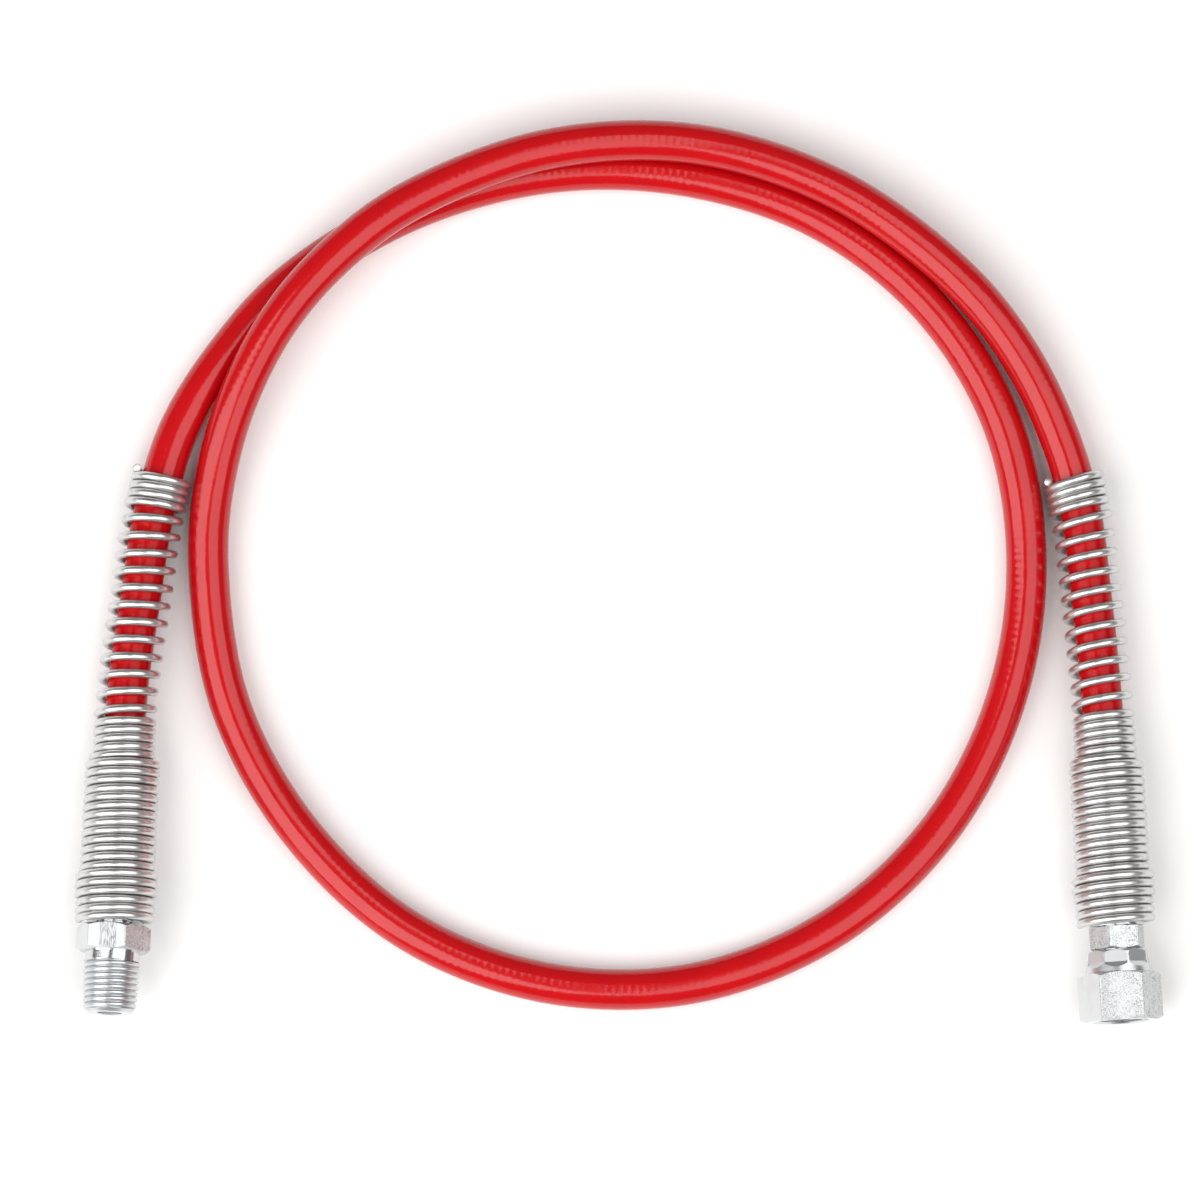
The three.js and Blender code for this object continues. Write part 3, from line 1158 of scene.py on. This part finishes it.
@dataclass
class SwivelStem:
    """The stem that the nut turns on, with a small hexagon and a cone seat."""

    place: Matrix
    tail: Tail = Tail()
    flats: float = 12.0
    hex_start: float = 0.9
    hex_end: float = 6.2
    roll: float = 45.0
    neck: float = 4.5
    neck_end: float = 8.7
    flange: float = 6.0
    flange_end: float = 12.2
    cone: float = 5.2
    cone_tip: float = 3.2
    tip: float = 15.7
    bore: float = 2.0

    def build(self) -> Object:
        """Makes and dresses the stem.

        Returns:
            The piece.
        """
        finish = PlatedSteel("stem_plating", self.place, self.flats / 2, self.hex_end)
        foot = self.hex_start + 0.5
        core = Stock.turned([
            *self.tail.outline(), (self.tail.spigot, foot), (self.neck, foot),
            (self.neck, self.neck_end), (self.flange, self.neck_end),
            (self.flange, self.flange_end), (self.cone, self.flange_end),
            (self.cone_tip, self.tip), (0.0, self.tip),
        ])
        hexagon = chamfered_hexagon(
            self.flats, self.hex_start, self.hex_end, self.roll, (False, True)
        )
        bore = Stock.turned([
            (0.0, -self.tail.length - 1), (self.tail.bore, -self.tail.length - 1),
            (self.tail.bore, -1.0), (self.bore, 0.0), (self.bore, self.tip + 1),
            (0.0, self.tip + 1),
        ])
        body = core.machined(hexagon, Action.JOIN).machined(bore, Action.CUT)
        return dressed("swivel_stem", body.shape, finish.material(), self.place)


@dataclass
class SwivelNut:
    """The hexagonal nut, whose collar is crimped behind the stem's flange."""

    place: Matrix
    flats: float = 17.46
    start: float = 6.5
    hex_start: float = 11.9
    end: float = 23.4
    collar_top: float = 7.4
    collar_foot: float = 8.05
    lip: float = 5.05
    lip_end: float = 8.3
    chamber: float = 6.5
    chamber_end: float = 12.7
    thread: float = 6.1
    thread_depth: float = 0.6
    jaws: int = 8
    jaw_turn: float = 7.0
    jaw_spread: float = 19.0  # half of the turn that each flat takes up
    jaw_length: float = 3.0

    def build(self) -> Object:
        """Makes and dresses the nut.

        Returns:
            The piece.
        """
        finish = PlatedSteel(
            "nut_plating", self.place, self.flats / 2 - 0.15, self.end + 1,
            dull_from=0.0, dull_to=self.hex_start, smooth_side=-5.2,
        )
        hex_start = self.hex_start
        collar = Stock.turned([
            (0.0, self.start), (self.collar_top - 0.5, self.start),
            (self.collar_top, self.start + 0.5), (self.collar_foot, hex_start),
            (self.collar_foot, hex_start + 0.5), (0.0, hex_start + 0.5),
        ])
        body = collar.machined(self._jaws(), Action.CUT)
        hexagon = chamfered_hexagon(self.flats, hex_start, self.end, 0.0, (True, True))
        body = body.machined(hexagon, Action.JOIN)
        body = body.machined(self._bore(), Action.CUT)
        body = body.machined(self._thread(), Action.CUT)
        return dressed("swivel_nut", body.shape, finish.material(), self.place, body=NUT_BODY)

    def _jaws(self) -> Stock:
        """The jaws that press the collar in: one wedge for each flat, in a ring."""
        width = 2 * math.pi / self.jaws
        seat = self.collar_top * math.cos(math.radians(self.jaw_spread))
        half = seat * math.tan(width / 2) - 0.2
        foot = self.start + self.jaw_length
        shape = bmesh.new()
        wedge = [(seat, self.start - 1), (seat, foot), (seat + 1.5, foot + 2.1)]
        wedge.append((seat + 1.5, self.start - 1))
        for index in range(self.jaws):
            turn = math.radians(90 + self.jaw_turn) + index * width
            corners = [shape.verts.new((radius, -half, height)) for radius, height in wedge]
            tops = raised(shape, [shape.faces.new(corners)], (0, 2 * half, 0))
            bmesh.ops.rotate(
                shape, verts=corners + tops, cent=(0, 0, 0), matrix=Matrix.Rotation(turn, 3, "Z")
            )
        return Stock(shape).tidied()

    def _bore(self) -> Stock:
        """The lip, the chamber for the flange, and the mouth of the thread."""
        return Stock.turned([
            (0.0, self.start - 1), (self.lip, self.start - 1), (self.lip, self.lip_end),
            (self.chamber, self.lip_end), (self.chamber, self.chamber_end),
            (self.thread, self.chamber_end), (self.thread, self.end - 0.9),
            (self.thread + 1.3, self.end + 0.4), (self.thread + 1.3, self.end + 1),
            (0.0, self.end + 1),
        ])

    def _thread(self) -> Stock:
        """The thread that is cut into the bore."""
        return Stock.thread(
            self.thread + self.thread_depth - 0.02, self.thread_depth, PIPE_PITCH,
            self.chamber_end - 0.3, self.end + 0.5, 0.0,
        )


# ---------------- the studio


@dataclass
class Studio:
    """A pale floor, two overhead softboxes and the camera."""

    distance: float = 2.5
    tilt: float = 5.5
    target: Triple = (-0.00444, -0.00699, 0.006)
    frame_width: float = 0.288  # what the camera sees at its target
    reach: float = 3.2  # from the object to each softbox

    def camera(self) -> None:
        """Makes the camera."""
        lens = bpy.data.cameras.new("camera")
        lens.lens = lens.sensor_width * self.distance / self.frame_width
        lens.clip_start, lens.clip_end = 0.1, 20.0
        made = linked("camera", lens)
        tilt = math.radians(self.tilt)
        back = Vector((0.0, -math.sin(tilt), math.cos(tilt)))
        made.location = Vector(self.target) + back * self.distance
        made.rotation_euler = (tilt, 0.0, 0.0)
        bpy.context.scene.camera = made

    def floor(self) -> None:
        """Makes the floor."""
        shape = bmesh.new()
        bmesh.ops.create_grid(shape, x_segments=8, y_segments=8, size=8.0)
        mesh = bpy.data.meshes.new("floor")
        shape.to_mesh(mesh)
        shape.free()
        mesh.materials.append(PaleFloor().material())
        linked("floor", mesh)

    def softbox(
        self, name: str, bearing: tuple[float, float], size: tuple[float, float], level: float,
        roll: float = 0.0,
    ) -> None:
        """Hangs a softbox over the floor, facing the object.

        Args:
            name: Its name.
            bearing: Its angles from straight overhead towards +X and +Y, in degrees.
            size: Its width across and its length.
            level: How bright it looks.
            roll: How far it is turned about its own middle, in degrees.
        """
        light = bpy.data.lights.new(name, "AREA")
        light.shape = "RECTANGLE"
        light.size, light.size_y = size
        light.energy = level * math.pi * size[0] * size[1]
        made = linked(name, light)
        slope_x, slope_y = (math.tan(math.radians(angle)) for angle in bearing)
        out = Vector((slope_x, slope_y, 1.0)).normalized()
        side = Vector((0.0, 1.0, 0.0)).cross(out).normalized()
        place = frame_of(side, out.cross(side), out, out * self.reach)
        made.matrix_world = place @ Matrix.Rotation(math.radians(roll), 4, "Z")

    def world(self, level: float) -> None:
        """Gives the room its dim even light."""
        world = bpy.data.worlds.new("room")
        world.use_nodes = True
        ground = world.node_tree.nodes["Background"]
        ground.inputs["Color"].default_value = (level, level, level, 1.0)
        bpy.context.scene.world = world

    def build(self) -> None:
        """Makes the whole studio."""
        self.floor()
        self.softbox("left_softbox", (-41.5, -26.5), (3.9, 3.6), 3.35, roll=10.0)
        self.softbox("right_softbox", (29.0, -10.0), (3.3, 4.2), 2.3)
        self.world(0.14)
        bpy.context.scene.view_settings.view_transform = "Standard"


def main() -> None:
    """Builds the whip hose and the studio around it."""
    logging.basicConfig(level=logging.INFO, format="%(name)s: %(message)s")
    studio = Studio()
    studio.camera()
    line = HoseLine()
    LOG.info("line of the hose: %.1f mm", line.length)
    hose = Hose(line)
    layers = hose.build()
    wire = DrawnWire().material()
    male_place, swivel_place = line.male.place(), line.swivel.place()
    male_guard = SpringGuard("male_spring_guard", line, False, 1.7, MALE_WINDINGS)
    swivel_guard = SpringGuard("swivel_spring_guard", line, True, 8.3, SWIVEL_WINDINGS)
    male_spring, swivel_spring = male_guard.build(wire), swivel_guard.build(wire)
    MaleFitting(male_place).build()
    stem = SwivelStem(swivel_place).build()
    nut = SwivelNut(swivel_place).build()
    male_ferrule = Ferrule("male_ferrule", male_place, end=0.0).build()
    swivel_ferrule = Ferrule("swivel_ferrule", swivel_place).build()
    path = hose.path()
    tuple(path[0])
    studio.build()


if __name__ == "__main__":
    main()
